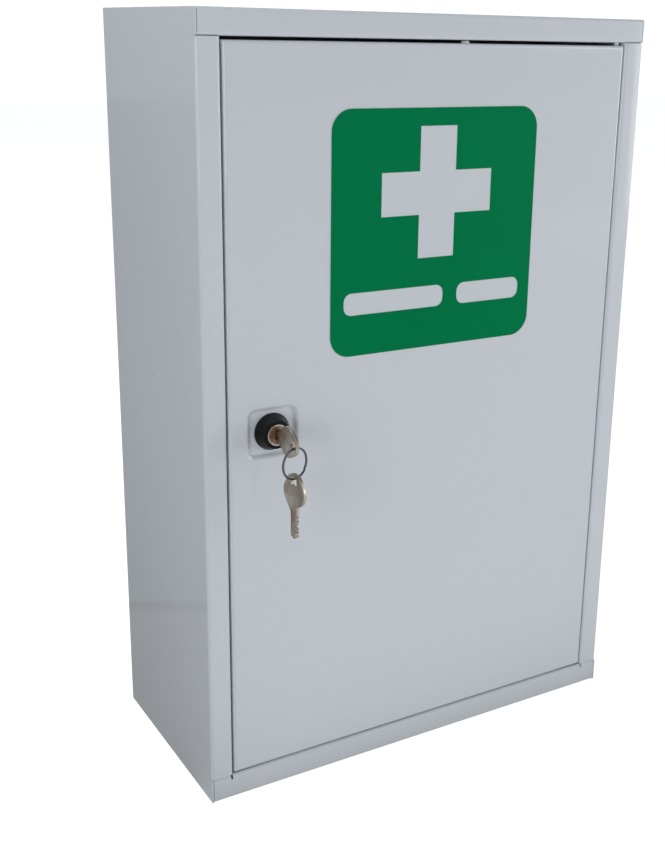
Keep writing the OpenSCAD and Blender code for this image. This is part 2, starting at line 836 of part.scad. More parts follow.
// A whole key, from the end of its bow at the origin to its point in -Y, with its cuts in +X.
module key_body() {
    difference() {
        linear_extrude(key_t, center = true) difference() {
            key_outline();
            translate([0, -hole_inset - hole_l / 2]) rounded([hole_w, hole_l], hole_r);
        }
        for (side = [-1, 1])
            translate([-blade_w / 4, -bow_l - blade_l / 2 - web_l / 2, side * key_t / 2])
                cube([groove_w, blade_l, 2 * groove_depth], center = true);
    }
}

module key() color(nickel)
    at_lock() translate([0, 0, bow_end]) rotate([90, 0, 90]) key_body();

module key_ring() color(nickel)
    translate([lock_x, ring_y, ring_z]) rotate([90, 0, ring_turn]) rotate_extrude()
        translate([ring_r, 0]) circle(d = wire_d);

module spare_key() color(nickel)
    translate([lock_x, ring_y, spare_top_z]) rotate([0, 0, 180 + spare_turn])
        rotate([90, 0, 90]) key_body();

// ---- Output ----

case_wrap();
top_panel();
bottom_panel();
upper_shelf();
lower_shelf();
upper_hinge_plate();
lower_hinge_plate();
upper_hinge_pin();
lower_hinge_pin();
door_panel();
upper_door_plate();
lower_door_plate();
door_buffer();
sign_backing();
sign_film();
lock_bezel();
lock_housing();
lock_washer();
lock_nut();
lock_plug();
lock_wafers();
wafer_springs();
lock_cam();
cam_washer();
cam_screw();
key();
key_ring();
spare_key();
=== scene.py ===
# %% [markdown]
# # A lockable medicine cabinet, folded from painted steel sheet
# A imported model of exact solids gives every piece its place. This script gives the pieces
# their looks: folded sheet with real bend radii, a pressed dish, a turned lock, a split ring
# and two keys, each with a finish made of nodes.

# %% Load the frame
from math import acos, asin, cos, pi, radians, sin

import bmesh
import bpy
from mathutils import Matrix, Vector


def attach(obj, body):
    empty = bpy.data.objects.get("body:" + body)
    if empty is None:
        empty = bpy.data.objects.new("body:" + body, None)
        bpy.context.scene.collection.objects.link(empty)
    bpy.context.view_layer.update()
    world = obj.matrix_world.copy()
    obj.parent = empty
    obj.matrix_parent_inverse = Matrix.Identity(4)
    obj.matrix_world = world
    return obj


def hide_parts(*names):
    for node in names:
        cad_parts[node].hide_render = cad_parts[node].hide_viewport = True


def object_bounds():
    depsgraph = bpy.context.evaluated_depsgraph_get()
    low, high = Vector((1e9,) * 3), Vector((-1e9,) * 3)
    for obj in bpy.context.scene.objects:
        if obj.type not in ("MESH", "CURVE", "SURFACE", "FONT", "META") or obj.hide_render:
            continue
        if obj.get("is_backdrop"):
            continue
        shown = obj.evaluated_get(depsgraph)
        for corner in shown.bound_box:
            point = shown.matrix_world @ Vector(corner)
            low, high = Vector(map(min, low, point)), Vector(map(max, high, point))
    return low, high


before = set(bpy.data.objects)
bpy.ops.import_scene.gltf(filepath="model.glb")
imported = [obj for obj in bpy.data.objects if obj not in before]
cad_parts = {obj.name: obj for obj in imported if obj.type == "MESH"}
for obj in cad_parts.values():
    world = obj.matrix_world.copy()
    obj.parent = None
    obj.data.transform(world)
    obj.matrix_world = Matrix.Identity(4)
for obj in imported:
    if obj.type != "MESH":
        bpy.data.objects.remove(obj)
cad_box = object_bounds()

# %% [markdown]
# ## The camera
# The place and the lens were solved from the six corners of the case that the photograph
# shows, at its real size. A small shift frames the picture without turning the camera, so
# upright edges keep the direction that they have in the photograph.

# %% Set up the camera
mm = 0.001
bpy.ops.object.camera_add(location=(-0.39322, -0.65143, 0.44911))
camera = bpy.context.object
camera.name = "photograph_camera"
camera.rotation_euler = [radians(a) for a in (73.5485, -1.1440, -31.2287)]
camera.data.sensor_width = 36
camera.data.lens = 50.215
camera.data.shift_x = -0.0579
camera.data.shift_y = -0.0501
camera.data.clip_start = 0.01
bpy.context.scene.camera = camera
print("camera lens:", round(camera.data.lens, 2), "mm")

# %% [markdown]
# ## Helpers for modelling by hand
# Every piece starts as a primitive and is shaped in edit mode. An operator acts on all that
# is selected, so these helpers first deselect everything, and then select corners, edges or
# faces by their place in millimetres.

# %% Select, edit and measure
def only(piece):
    """Selects one piece alone."""
    bpy.ops.object.select_all(action="DESELECT")
    piece.select_set(True)
    bpy.context.view_layer.objects.active = piece


def edit(piece):
    """Opens a piece in edit mode with nothing selected."""
    only(piece)
    bpy.ops.object.mode_set(mode="EDIT")
    bpy.ops.mesh.select_all(action="DESELECT")


def done():
    """Closes edit mode."""
    bpy.ops.object.mode_set(mode="OBJECT")


def near(a, b, reach=0.02):
    """True where two sizes in millimetres are the same."""
    return abs(a - b) < reach


def pick(kind, test, along=None):
    """Selects the vertices, edges or faces whose every point passes a test.

    Where along is given, an edge also has to run in that direction.
    """
    bpy.ops.mesh.select_mode(type=kind)
    bpy.ops.mesh.select_all(action="DESELECT")
    mesh = bmesh.from_edit_mesh(bpy.context.object.data)
    parts = {"VERT": mesh.verts, "EDGE": mesh.edges, "FACE": mesh.faces}[kind]
    for part in parts:
        points = [part] if kind == "VERT" else part.verts
        part.select = all(test(v.co / mm) for v in points)
        if along and part.select:
            run = (part.verts[1].co - part.verts[0].co).normalized()
            part.select = abs(run @ Vector(along)) > 0.99
    mesh.select_flush_mode()
    bmesh.update_edit_mesh(bpy.context.object.data)
    return sum(part.select for part in parts)


def middle():
    """The middle of the selected points, in metres."""
    mesh = bmesh.from_edit_mesh(bpy.context.object.data)
    points = [v.co.copy() for v in mesh.verts if v.select]
    return sum(points, Vector()) / len(points)


# %% [markdown]
# ## Helpers for sheet metal
# A folded sheet is modelled as the fitter makes it: a flat blank, then a bend, then the next
# flat. A bend is a spin of the free edge round the bend's centre, and a flat is an extrude.
# The skin gets its thickness last, so the inside of every bend comes out right by itself.

# %% Primitives, flats and bends
def block(name, low, high):
    """A box between two corners."""
    bpy.ops.object.select_all(action="DESELECT")
    bpy.ops.mesh.primitive_cube_add(
        size=1,
        location=[(a + b) / 2 * mm for a, b in zip(low, high)],
        scale=[(b - a) * mm for a, b in zip(low, high)],
    )
    bpy.ops.object.transform_apply()
    bpy.context.object.name = name
    return bpy.context.object


def blank(name, x, y, z):
    """A flat blank between two values of x and two of y, at height z."""
    bpy.ops.object.select_all(action="DESELECT")
    bpy.ops.mesh.primitive_plane_add(
        size=1, location=((x[0] + x[1]) / 2 * mm, (y[0] + y[1]) / 2 * mm, z * mm)
    )
    bpy.context.object.scale = ((x[1] - x[0]) * mm, (y[1] - y[0]) * mm, 1)
    bpy.ops.object.transform_apply()
    bpy.context.object.name = name
    return bpy.context.object


def flat(direction, length):
    """Runs the selected edge on in a direction."""
    bpy.ops.mesh.extrude_region_move(
        TRANSFORM_OT_translate={"value": Vector(direction) * length * mm}
    )


def bend(old, new, radius, steps=6):
    """Bends the selected edge from one direction into another."""
    old, new = Vector(old), Vector(new)
    bpy.ops.mesh.spin(
        steps=steps, angle=-pi / 2, center=middle() + new * radius * mm, axis=old.cross(new)
    )


def slice_at(points, normal):
    """Cuts the whole piece along planes, so that parts of an edge can be picked."""
    for point in points:
        bpy.ops.mesh.select_all(action="SELECT")
        bpy.ops.mesh.bisect(plane_co=Vector(normal) * point * mm, plane_no=normal)


# %% [markdown]
# ## Helpers for thickness, holes and edges
# Solidify gives the skin its thickness inwards. Holes are booleans with a tool that is
# thrown away. Paint rounds every raw edge a little, and a small bevel is what catches the
# light there. Weighted normals keep the large flats flat in the shading.

# %% Thickness, cuts and shading
def face_outwards(piece, direction):
    """Merges doubles and points all normals outwards; the farthest face decides."""
    edit(piece)
    bpy.ops.mesh.select_all(action="SELECT")
    bpy.ops.mesh.remove_doubles(threshold=0.002 * mm)
    bpy.ops.mesh.normals_make_consistent(inside=False)
    mesh = bmesh.from_edit_mesh(piece.data)
    way = Vector(direction)
    last = max(mesh.faces,
               key=lambda f: f.calc_center_median() @ way + 0.001 * (f.normal @ way) ** 2)
    if last.normal @ way < 0:
        bpy.ops.mesh.flip_normals()
    done()


def apply(piece, kind, **values):
    """Adds a modifier to a piece and applies it."""
    only(piece)
    bpy.ops.object.modifier_add(type=kind)
    modifier = piece.modifiers[-1]
    for key, value in values.items():
        setattr(modifier, key, value)
    bpy.ops.object.modifier_apply(modifier=modifier.name)


def thicken(piece, thickness):
    """Gives a skin its thickness, inwards."""
    apply(piece, "SOLIDIFY", thickness=thickness * mm, offset=-1, use_even_offset=True)


def cut(piece, *tools, operation="DIFFERENCE"):
    """Cuts tools out of a piece, and throws them away."""
    for tool in tools:
        apply(piece, "BOOLEAN", object=tool, operation=operation, solver="EXACT")
        bpy.data.objects.remove(tool)


def finish_edges(piece, width, segments=2, angle=40):
    """Rounds the sharp edges and smooths the rest."""
    if width:
        apply(piece, "BEVEL", width=width * mm, segments=segments, limit_method="ANGLE",
              angle_limit=radians(angle), use_clamp_overlap=True)
    only(piece)
    bpy.ops.object.shade_smooth_by_angle(angle=radians(38))
    apply(piece, "WEIGHTED_NORMAL", keep_sharp=True)


def drill(x, y, z, radius, depth, direction=(0, 0, 1), sides=48):
    """A round tool, centred on a point and turned along a direction."""
    bpy.ops.object.select_all(action="DESELECT")
    turn = Vector((0, 0, 1)).rotation_difference(Vector(direction)).to_euler()
    bpy.ops.mesh.primitive_cylinder_add(
        vertices=sides, radius=radius * mm, depth=depth * mm,
        location=(x * mm, y * mm, z * mm), rotation=turn,
    )
    bpy.ops.object.transform_apply()
    return bpy.context.object


# %% [markdown]
# ## Turned parts
# Bezels, pins, washers and the lock's body are made on a lathe. Here one circle is extruded
# from ring to ring along the axis and resized each time, as a turner follows a drawing. A
# closed profile comes back to its first ring, which leaves a bore through the piece.

# %% A lathe
def turned(name, rings, closed=False, sides=64):
    """Turns a piece upright at the origin. Each ring is (height, radius)."""
    bpy.ops.object.select_all(action="DESELECT")
    bpy.ops.mesh.primitive_circle_add(
        vertices=sides, radius=rings[0][1] * mm, location=(0, 0, rings[0][0] * mm),
        fill_type="NOTHING" if closed else "NGON",
    )
    bpy.ops.object.transform_apply()
    piece = bpy.context.object
    piece.name = name
    edit(piece)
    bpy.ops.mesh.select_mode(type="EDGE")
    bpy.ops.mesh.select_all(action="SELECT")
    for (z0, r0), (z1, r1) in zip(rings, rings[1:]):
        if not closed:
            pick("EDGE", lambda p: near(p.z, z0, 0.0005) and near(p.xy.length, r0, 0.0005))
        bpy.ops.mesh.extrude_edges_move(
            TRANSFORM_OT_translate={"value": (0, 0, (z1 - z0) * mm)}
        )
        bpy.ops.transform.resize(
            value=(r1 / r0, r1 / r0, 1), center_override=(0, 0, z1 * mm)
        )
    if not closed:
        bpy.ops.mesh.edge_face_add()
    done()
    face_outwards(piece, (0, 0, 1))
    return piece


def place(piece, at, along):
    """Turns a finished piece from +Z to a direction and moves it, then applies both."""
    only(piece)
    piece.rotation_euler = Vector((0, 0, 1)).rotation_difference(Vector(along)).to_euler()
    piece.location = [v * mm for v in at]
    bpy.ops.object.transform_apply()
    return piece


# %% [markdown]
# ## The case wrap
# One sheet makes the left wall, the back and the right wall, and folds inwards at the front
# into an upright on each side of the door. Each upright turns back into the case as a lip,
# which is what the lock's cam catches. The walls could be a box with its front cut away. It
# starts as one, but the uprights are then really bent from the walls' front edges, between
# two slits that free the bend, as the shop would do it.

# %% Fold the case wrap
sheet = 1
bend_r = 2
front, back = -70, 70
rail_top, rail_bottom = 14, 15.4
stile_z = (rail_bottom + 0.1, 460 - rail_top - 0.1)
slit = 0.4

wrap = block("case_wrap_sheet", (-150, front + bend_r, 0), (150, back, 460))
edit(wrap)
pick("EDGE", lambda p: near(p.y, back) and near(abs(p.x), 150), along=(0, 0, 1))
bpy.ops.mesh.bevel(offset=bend_r * mm, segments=6, affect="EDGES")
for ends in (lambda p: near(p.z, 0), lambda p: near(p.z, 460), lambda p: near(p.y, -68)):
    pick("FACE", ends)
    bpy.ops.mesh.delete(type="ONLY_FACE")
slice_at([stile_z[0] - slit, stile_z[0], stile_z[1], stile_z[1] + slit], (0, 0, 1))
for side in (-1, 1):
    wall_edge = lambda p: near(p.x, 150 * side) and near(p.y, -68)
    pick("EDGE", lambda p: wall_edge(p) and stile_z[0] - slit / 2 < p.z < stile_z[1] + slit / 2)
    forward, inward = (0, -1, 0), (-side, 0, 0)
    bend(forward, inward, bend_r)
    flat(inward, 13.7 - 2 * bend_r)
    bend(inward, (0, 1, 0), bend_r)
    flat((0, 1, 0), 15)
    for low, high in ((-1, stile_z[0] - slit / 2), (stile_z[1] + slit / 2, 461)):
        pick("EDGE", lambda p: wall_edge(p) and low < p.z < high)
        flat(forward, bend_r)
done()
face_outwards(wrap, (0, 1, 0))
thicken(wrap, sheet)
print("case wrap:", [round(v / mm, 2) for v in wrap.dimensions])

# %% [markdown]
# ## Wall holes and weld marks
# Four holes in the back take the wall screws. A spot weld pulls a shallow round dent into
# the outside of each wall, where the upper shelf's flange is welded to its inside. A sphere
# that only just touches the wall cuts that dent, because its depth is under half a millimetre.

# %% Holes and dents in the wrap
def ball(x, y, z, radius):
    """A round tool for dents."""
    bpy.ops.object.select_all(action="DESELECT")
    bpy.ops.mesh.primitive_uv_sphere_add(
        segments=96, ring_count=64, radius=radius * mm, location=(x * mm, y * mm, z * mm)
    )
    bpy.ops.object.transform_apply()
    return bpy.context.object


dent_r = (1.8**2 + 0.4**2) / (2 * 0.4)
for x in (-100, 100):
    for z in (50, 410):
        cut(wrap, drill(x, 69.5, z, 3.5, 4, (0, 1, 0)))
for side in (-1, 1):
    cut(wrap, ball(side * (150 + dent_r - 0.4), -5.4, 253, dent_r))
finish_edges(wrap, 0.2)
print("case wrap:", len(wrap.data.polygons), "faces")

# %% [markdown]
# ## The end panels
# The top and the bottom are the same folded panel, one of them turned over. Flanges at the
# sides and the back are welded inside the wrap. At the front the panel turns up as a rail
# and back as a lip. In the bottom panel the middle of the lip turns up once more, as the
# stop that the closed door meets; a stop at the top would show as a pale line in the gap.
# The corners stay open, because each flange is bent on its own.

# %% Fold the end panels
up, down, left, right = (0, 0, 1), (0, 0, -1), (-1, 0, 0), (1, 0, 0)
forward, backward = (0, -1, 0), (0, 1, 0)


def flange(edge_test, outward, height, turn=up):
    """Turns up one edge of a blank."""
    pick("EDGE", edge_test)
    bend(outward, turn, bend_r)
    flat(turn, height - bend_r)


def end_panel(name, rail_h, upside_down):
    panel = block(name, (-147, -66, 0), (147, 67, 1))
    edit(panel)
    pick("VERT", lambda p: p.z > 0.5)
    bpy.ops.mesh.delete(type="VERT")
    flange(lambda p: near(p.x, -147), left, 12)
    flange(lambda p: near(p.x, 147), right, 12)
    flange(lambda p: near(p.y, 67) and near(p.z, 0) and abs(p.x) < 147.1, backward, 12)
    pick("EDGE", lambda p: near(p.y, -66) and near(p.z, 0) and abs(p.x) < 147.1)
    flat(forward, 2)
    bpy.ops.transform.resize(value=(148.7 / 147, 1, 1), center_override=(0, 0, 0))
    bend(forward, up, bend_r)
    flat(up, rail_h - 2 * bend_r)
    bend(up, backward, bend_r)
    flat(backward, 12.4)
    if not upside_down:
        slice_at([-110.3, 110.3], right)
        pick("EDGE", lambda p: near(p.y, -55.6) and near(p.z, rail_h) and abs(p.x) < 110.4)
        bend(backward, up, bend_r - sheet)
        flat(up, 7)
    done()
    if upside_down:
        only(panel)
        panel.scale = (1, 1, -1)
        panel.location = (0, 0, 460 * mm)
        bpy.ops.object.transform_apply()
    face_outwards(panel, up if upside_down else down)
    thicken(panel, sheet)
    return panel


bottom = end_panel("bottom_panel_sheet", rail_bottom, False)
top = end_panel("top_panel_sheet", rail_top, True)
print("end panels:", len(bottom.data.polygons), len(top.data.polygons), "faces")

# %% [markdown]
# The bottom rail has a small relief beside each upright, and both lips have a hole for a
# hinge pin.

# %% Reliefs and pin holes
pin_x, pin_y = 131.4, -66
door_low, door_high = 16.6, 444.2
for side in (-1, 1):
    low, high = sorted((side * 136.3, side * 137.5))
    cut(bottom, block("relief", (low, -71, rail_bottom - 3), (high, -68, rail_bottom + 1)))
for panel, z in ((bottom, rail_bottom), (top, 460 - rail_top)):
    cut(panel, drill(pin_x, pin_y, z, 1.55, 4))
    finish_edges(panel, 0.2)

# %% [markdown]
# ## The shelves
# Each shelf is a flat blank with a flange turned down along all four sides, which makes a
# thin sheet stiff enough for bottles. The side flanges are spot welded to the walls.

# %% Fold the shelves
def shelf(name, z):
    tray = blank(name, (-147, 147), (-40, 67), z)
    edit(tray)
    for edge_test, outward in (
        (lambda p: near(p.x, -147), left),
        (lambda p: near(p.x, 147), right),
        (lambda p: near(p.y, 67) and near(p.z, z) and abs(p.x) < 147.1, backward),
        (lambda p: near(p.y, -40) and near(p.z, z) and abs(p.x) < 147.1, forward),
    ):
        flange(edge_test, outward, 12, down)
    done()
    face_outwards(tray, up)
    thicken(tray, sheet)
    finish_edges(tray, 0.2)
    return tray


upper_tray = shelf("upper_shelf_sheet", 262)
lower_tray = shelf("lower_shelf_sheet", 131)
print("shelves:", [round(v / mm, 1) for v in upper_tray.dimensions], "mm")

# %% [markdown]
# ## The door
# The door is a shallow pan with its edges folded back twice. It starts as a closed box: the
# front and back edges are bevelled to the bend radius, the dish for the lock is pressed into
# the front with a rounded punch, and the back is inset and opened. What is left is the skin,
# and Solidify makes it sheet.

# %% Fold the door and press its dish
lock_x, lock_z, floor_y = -108, 230.4, -67.8

punch = block("punch", (lock_x - 14, front - 2, lock_z - 13), (lock_x + 14, floor_y, lock_z + 13))
edit(punch)
pick("EDGE", lambda p: True, along=forward)
bpy.ops.mesh.bevel(offset=4.2 * mm, segments=8, affect="EDGES")
pick("VERT", lambda p: near(p.y, front - 2))
bpy.ops.transform.resize(
    value=(1.22, 1, 1.24), center_override=(lock_x * mm, 0, lock_z * mm)
)
done()

door = block("door_sheet", (-135, front, door_low), (135, front + 15, door_high))
edit(door)
pick("EDGE", lambda p: near(p.y, front))
bpy.ops.mesh.bevel(offset=bend_r * mm, segments=6, affect="EDGES")
pick("EDGE", lambda p: near(p.y, front + 15))
bpy.ops.mesh.bevel(offset=bend_r * mm, segments=6, affect="EDGES")
done()
cut(door, punch)
print("door skin:", len(door.data.polygons), "faces")

# %% [markdown]
# Pressing never leaves a sharp line, so the dish's rim and the edge of its floor are
# rounded. They are the only edges of the front face that lie round the lock.

# %% Round the dish, open the back and thicken the door
def in_dish(p):
    return abs(p.x - lock_x) < 22 and abs(p.z - lock_z) < 22


edit(door)
pick("EDGE", lambda p: in_dish(p) and near(p.y, front))
bpy.ops.mesh.bevel(offset=1.1 * mm, segments=5, affect="EDGES")
pick("EDGE", lambda p: in_dish(p) and near(p.y, floor_y))
bpy.ops.mesh.bevel(offset=0.9 * mm, segments=4, affect="EDGES")
pick("FACE", lambda p: near(p.y, front + 15))
bpy.ops.mesh.inset(thickness=8 * mm)
bpy.ops.mesh.delete(type="FACE")
done()
face_outwards(door, forward)
thicken(door, sheet)

cut(door, drill(pin_x, pin_y, 230, 1.15, 440))
cut(door, drill(18, -65, door_high, 1.3, 4))
hole = drill(lock_x, floor_y, lock_z, 8.1, 6, forward, 64)
flats = block("flats", (lock_x - 6.8, -80, lock_z - 9), (lock_x + 6.8, -60, lock_z + 9))
cut(hole, flats, operation="INTERSECT")
cut(door, hole)
finish_edges(door, 0.2)
print("door:", [round(v / mm, 2) for v in door.dimensions], len(door.data.polygons), "faces")

# %% [markdown]
# ## Hinge plates and pins
# A two-millimetre plate behind each rail's lip holds a pin, and a plate inside the door's
# edge gives the pin's tip something to run in. A projection weld leaves a small dimple near
# each end of a plate. The pins are turned: a head, a body and a slimmer tip with chamfers.

# %% Make the hinge plates and pins
def plate(name, low, high, hole_r, dimple_z):
    piece = block(name, low, high)
    edit(piece)
    pick("EDGE", lambda p: near(p.x, low[0]), along=up)
    bpy.ops.mesh.bevel(offset=1.5 * mm, segments=4, affect="EDGES")
    done()
    cut(piece, drill(pin_x, pin_y, (low[2] + high[2]) / 2, hole_r, 6))
    for x in (low[0] + 4, low[0] + 9.5):
        cut(piece, ball(x, (low[1] + high[1]) / 2, dimple_z, 1.6))
    finish_edges(piece, 0.25)
    return piece


plate_x = (pin_x - 16, pin_x + 9)
plates = {
    "lower_hinge_plate": plate("lower_pin_plate", (plate_x[0], -68, 12.4),
                               (plate_x[1], -55.6, 14.4), 1.55, 11.1),
    "upper_hinge_plate": plate("upper_pin_plate", (plate_x[0], -68, 447),
                               (plate_x[1], -55.6, 449), 1.55, 450.3),
    "lower_door_plate": plate("lower_bearing_plate", (plate_x[0], -68, door_low + 1),
                              (133, -57, door_low + 3), 1.15, door_low + 4.3),
    "upper_door_plate": plate("upper_bearing_plate", (plate_x[0], -68, door_high - 3),
                              (133, -57, door_high - 1), 1.15, door_high - 4.3),
}


def pin(name, gap):
    """A pin from its head up to its tip; height 0 is the outside of the rail's lip."""
    shoulder = gap - 0.1
    return turned(name, [
        (-4.6, 2.1), (-4.4, 2.4), (-4.2, 2.5), (-3.3, 2.5), (-3, 2.3), (-3, 1.5),
        (shoulder - 0.2, 1.5), (shoulder, 1.3), (shoulder, 1.1), (gap + 5.4, 1.1),
        (gap + 6, 0.7),
    ], sides=48)


pins = {
    "lower_hinge_pin": place(pin("lower_pin", 1.2), (pin_x, pin_y, rail_bottom), up),
    "upper_hinge_pin": place(pin("upper_pin", 1.8), (pin_x, pin_y, 460 - rail_top), down),
}
for piece in pins.values():
    finish_edges(piece, 0)

# %% [markdown]
# ## The door's buffer
# A soft white button stands in the gap above the door, so the door closes without a clang.
# Its head is domed, and a barb on its stem holds it in the door's edge.

# %% Turn the buffer
buffer = place(turned("buffer_button", [
    (-2.6, 1.3), (-1, 1.75), (-1, 1.3), (0, 1.3), (0, 2.3), (0.3, 2.4), (0.8, 2.4),
    (1.15, 2.2), (1.37, 1.7), (1.47, 1), (1.5, 0.3),
], sides=48), (18, -65, door_high), up)
finish_edges(buffer, 0)

# %% [markdown]
# ## The lock's fixed parts
# The bezel is a moulded cone that hides the lock's clamping flange. Inside it stands the
# bright nose of the housing. Behind the door the housing is a barrel with two flats and a
# fine thread, held by a toothed washer and a flat nut. All three are turned; the flats are
# cut afterwards, as they are on the real barrel, so the thread's ridges end on them.

# %% Turn the bezel and the housing
dish_floor = (lock_x, floor_y, lock_z)

bezel = turned("bezel_cone", [
    (0, 10.65), (0.2, 10.9), (1.1, 10.9), (1.4, 10.7), (1.5, 10.5), (7.3, 8.5), (7.75, 8.25),
    (7.95, 7.95), (8, 7.6), (8, 6.85), (7.9, 6.6), (7.6, 6.5), (2.4, 6.5), (2.4, 8.6),
    (0, 8.6), (0, 10.65),
], closed=True, sides=96)
place(bezel, dish_floor, forward)
finish_edges(bezel, 0)

ridges = [(z, r) for i in range(15) for z, r in ((-16.2 + i, 7.95), (-15.7 + i, 7.5))]
housing = turned("lock_barrel", [(-16.6, 4.55), (-16.6, 7.5)] + ridges + [
    (-1, 7.95), (0, 7.95), (0, 8.5), (2.2, 8.5), (2.2, 6.4), (8.15, 6.4), (8.35, 6.25),
    (8.4, 6.05), (8.4, 5.45), (8.25, 5.25), (6.55, 5.25), (6.55, 4.55), (-16.6, 4.55),
], closed=True, sides=72)
for x0, x1 in ((-9, -6.7), (6.7, 9)):
    cut(housing, block("flat_cutter", (x0, -9, -17), (x1, 9, -0.02)))
place(housing, dish_floor, forward)
finish_edges(housing, 0)
print("bezel and housing:", len(bezel.data.polygons), len(housing.data.polygons), "faces")

# %% [markdown]
# The nut starts as a six-sided cylinder. Its corners are turned off at thirty degrees and it
# is bored, which is one intersection with a turned ring. The toothed washer keeps its exact
# solid.

# %% Make the nut
bpy.ops.object.select_all(action="DESELECT")
bpy.ops.mesh.primitive_cylinder_add(
    vertices=6, radius=22 / 2 / cos(pi / 6) * mm, depth=4 * mm, location=(0, 0, 2 * mm),
    rotation=(0, 0, pi / 6),
)
bpy.ops.object.transform_apply()
nut = bpy.context.object
nut.name = "barrel_nut"
cut(nut, turned("turned_blank", [
    (-0.3, 10.2), (1.17, 12.75), (2.83, 12.75), (4.3, 10.2), (4.3, 8.6), (3.6, 8.1), (0.4, 8.1),
    (-0.3, 8.6), (-0.3, 10.2),
], closed=True, sides=72), operation="INTERSECT")
place(nut, (lock_x, floor_y + 1 + 0.8 + 4, lock_z), forward)
finish_edges(nut, 0.12)
print("nut:", [round(v / mm, 1) for v in nut.dimensions], "mm")

# %% [markdown]
# ## The plug
# The plug is the part that the key turns. Its face is turned with a small chamfer, and the
# keyway is a slot from the face to just past the key's point, with a wider mouth where the
# key first enters. The square at the rear drives the cam.

# %% Make the plug
plug = turned("plug_cylinder", [
    (-18.6, 2.9), (-16.8, 2.9), (-16.8, 4.5), (6.6, 4.5), (6.6, 5.2), (8.2, 5.2), (8.4, 5.1),
    (8.5, 4.9),
], sides=72)
keep = block("square_form", (-3, -3, -18.6), (3, 3, -16.8))
cut(plug, block("behind", (-9, -9, -19), (9, 9, -16.8)))
cut(plug, keep, operation="UNION")
cut(plug, block("keyway", (-1.2, -2.9, -7.4), (1.2, 2.9, 9)))
mouth = block("mouth", (-1.2, -2.9, 8.05), (1.2, 2.9, 8.7))
edit(mouth)
pick("VERT", lambda p: p.z > 8.5)
bpy.ops.transform.resize(value=(1.75, 1.3, 1), center_override=(0, 0, 0))
done()
cut(plug, mouth)
cut(plug, turned("screw_hole", [(-19, 1.7), (-9.6, 1.7)], sides=32))
place(plug, dish_floor, forward)
finish_edges(plug, 0.1)
print("plug:", len(plug.data.polygons), "faces")

# %% [markdown]
# ## The cam, its washer and its screw
# The cam is stamped from zinc-plated plate: a round hub, a straight arm and a rounded end,
# with a square hole. Stamping rounds one rim and the plating softens the rest, so the whole
# outline gets a bevel. A turned pan-head screw with a cross recess and a washer hold it.

# %% Make the cam
cam_y = floor_y + 16.8
reach = 27 + 1.3 + 5.7
cam = block("cam_tongue", (lock_x - 6.5, cam_y, lock_z - reach), (lock_x + 6.5, cam_y + 2, lock_z))
edit(cam)
pick("EDGE", lambda p: near(p.z, lock_z - reach), along=forward)
bpy.ops.mesh.bevel(offset=6.4 * mm, segments=14, affect="EDGES")
done()
cut(cam, drill(lock_x, cam_y + 1, lock_z, 8, 2, forward, 72), operation="UNION")
half_square = 3.1
cut(cam, block("square", (lock_x - half_square, cam_y - 1, lock_z - half_square),
               (lock_x + half_square, cam_y + 3, lock_z + half_square)))
finish_edges(cam, 0.35, segments=3)

cam_ring = turned("washer_ring", [
    (0, 1.7), (0, 5.8), (0.2, 6), (0.85, 6), (1, 5.8), (1, 1.85), (0.9, 1.7), (0, 1.7),
], closed=True)
place(cam_ring, (lock_x, cam_y + 2, lock_z), backward)
finish_edges(cam_ring, 0)

screw = turned("pan_screw", [
    (-9, 1.3), (-8.6, 1.6), (0, 1.6), (0, 3.4), (0.15, 3.5), (1, 3.45), (1.7, 3.1),
    (2.15, 2.3), (2.35, 1.3), (2.4, 0.2),
], sides=48)
for w, h in ((3.4, 0.75), (0.75, 3.4)):
    recess = block("recess", (-w / 2, -h / 2, 1.2), (w / 2, h / 2, 3))
    edit(recess)
    pick("VERT", lambda p: p.z < 2)
    bpy.ops.transform.resize(value=(0.45 if w > h else 1, 0.45 if h > w else 1, 1),
                             center_override=(0, 0, 0))
    done()
    cut(screw, recess)
place(screw, (lock_x, cam_y + 3, lock_z), backward)
finish_edges(screw, 0)
print("cam reach:", reach, "mm")

# %% [markdown]
# ## The keys
# A key is cut from flat plate, so it is drawn as a flat outline and given its thickness. The
# bow is the shape round two circles, one small and one large. One side of it runs into the
# blade along a web, and the other side ends in a shoulder. The wafer cuts are V-shaped
# notches. A flat curve does this well: its depth and its rounded rim are two of its settings,
# and it becomes a mesh before the groove and the shallow panels are cut.

# %% Draw the key's outline
key_l, bow_l, blade_w, key_t = 39, 20, 5.4, 2
bow_end = 8.4 + 0.1 + 4.1 + bow_l
wafer_first, wafer_pitch, cut_w = 8.5 - 2.9, 2.3, 2
cut_depths = [1.28, 0.96, 1.6, 0.72, 1.36, 0.96]


def arc(x, y, radius, start, end, steps=18):
    """Points round part of a circle, between two angles in degrees."""
    angles = [radians(start + (end - start) * i / steps) for i in range(steps + 1)]
    return [(x + radius * cos(a), y + radius * sin(a)) for a in angles]


def key_outline():
    small, large, half = 7.3, 9, blade_w / 2
    slope = asin((large - small) / (bow_l - small - large)) * 180 / pi
    last_cut = wafer_first - 4 * wafer_pitch - bow_end
    points = arc(0, -small, small, slope, 180 - slope)
    points += arc(0, large - bow_l, large, 180 - slope, 210)
    points += [(-half, -bow_l - 3), (-half, 1.6 - key_l), (0, -key_l), (half, 1.6 - key_l)]
    for i, depth in enumerate(cut_depths):
        y = last_cut + i * wafer_pitch
        points += [(half, y - cut_w / 2), (half - depth, y), (half, y + cut_w / 2)]
    return points + arc(0, large - bow_l, large, -acos(half / large) * 180 / pi, slope)


